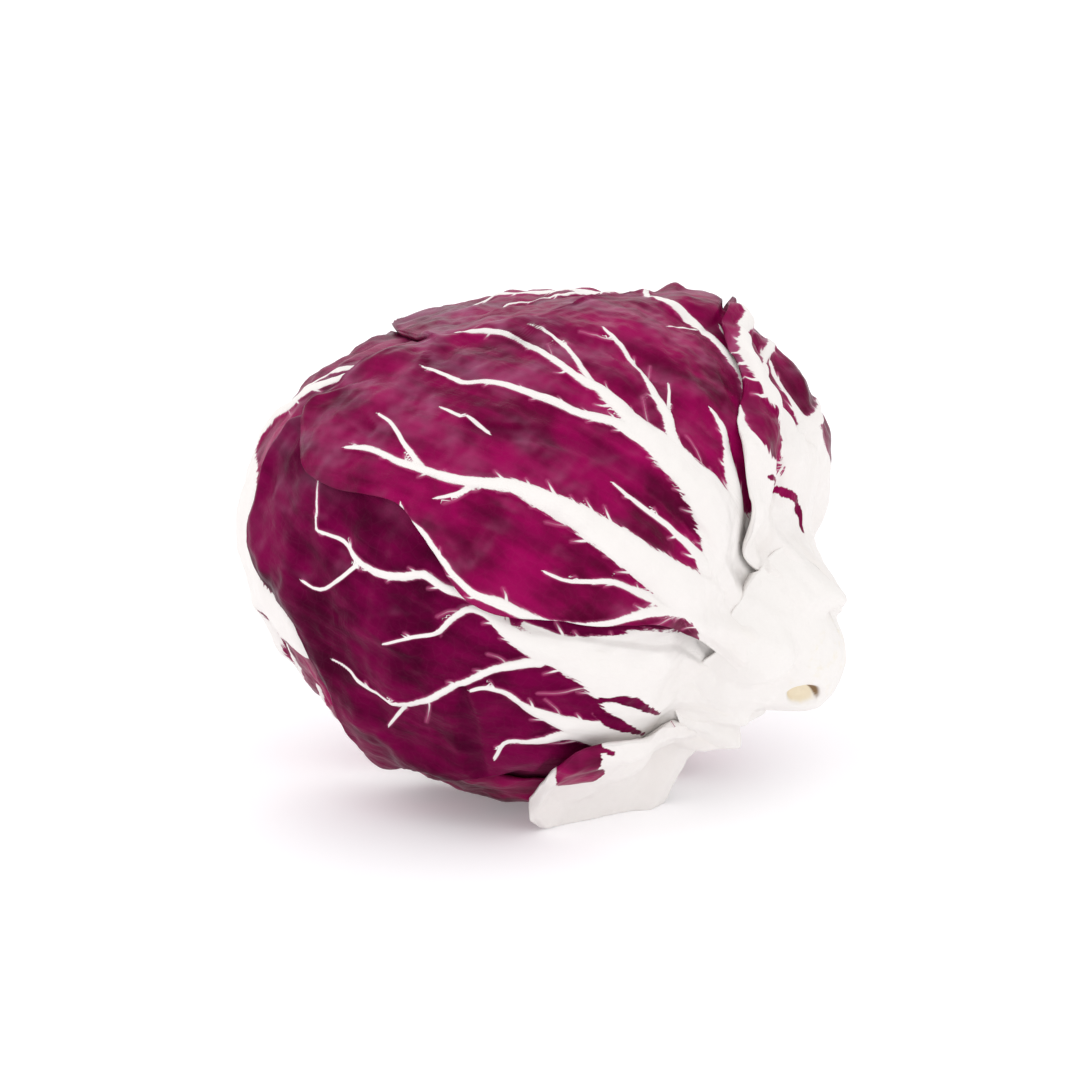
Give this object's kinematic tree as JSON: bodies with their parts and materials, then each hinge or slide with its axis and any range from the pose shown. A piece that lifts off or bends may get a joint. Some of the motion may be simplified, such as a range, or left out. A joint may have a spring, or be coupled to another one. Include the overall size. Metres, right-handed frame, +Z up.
{
  "type": "radicchio head",
  "caption": "Round head of red radicchio lying on its side, with glossy purple leaves wrapped over one another, raised white branching ribs and a white butt with a cut stub.",
  "frame": {"origin": "centre of the footprint of the overall box, on the plane the head rests on", "axes": "+Z up; the head's axis lies in the XZ plane, with the stub towards +X and low and the crown towards -X and high; -Y is the side seen in front"},
  "size_m": [0.1278, 0.1198, 0.1022],
  "materials": {
    "leaf_blade": "smooth waxy leaf, deep magenta purple with a soft gloss",
    "rib_tissue": "smooth fleshy white rib, faintly green, semi-gloss",
    "stem_tissue": "matt cut stub, cream white with a tan hollow"
  },
  "bodies": {
    "root": {"heart": "leaf_blade", "stem": "stem_tissue", "under_leaf_blade": "leaf_blade", "under_leaf_ribs": "rib_tissue", "back_leaf_blade": "leaf_blade", "back_leaf_ribs": "rib_tissue", "top_leaf_blade": "leaf_blade", "top_leaf_ribs": "rib_tissue", "lower_leaf_blade": "leaf_blade", "lower_leaf_ribs": "rib_tissue", "front_leaf_blade": "leaf_blade", "front_leaf_ribs": "rib_tissue", "foot_leaf": "rib_tissue", "crest_leaf_blade": "leaf_blade", "crest_leaf_ribs": "rib_tissue"}
  },
  "joints": []
}
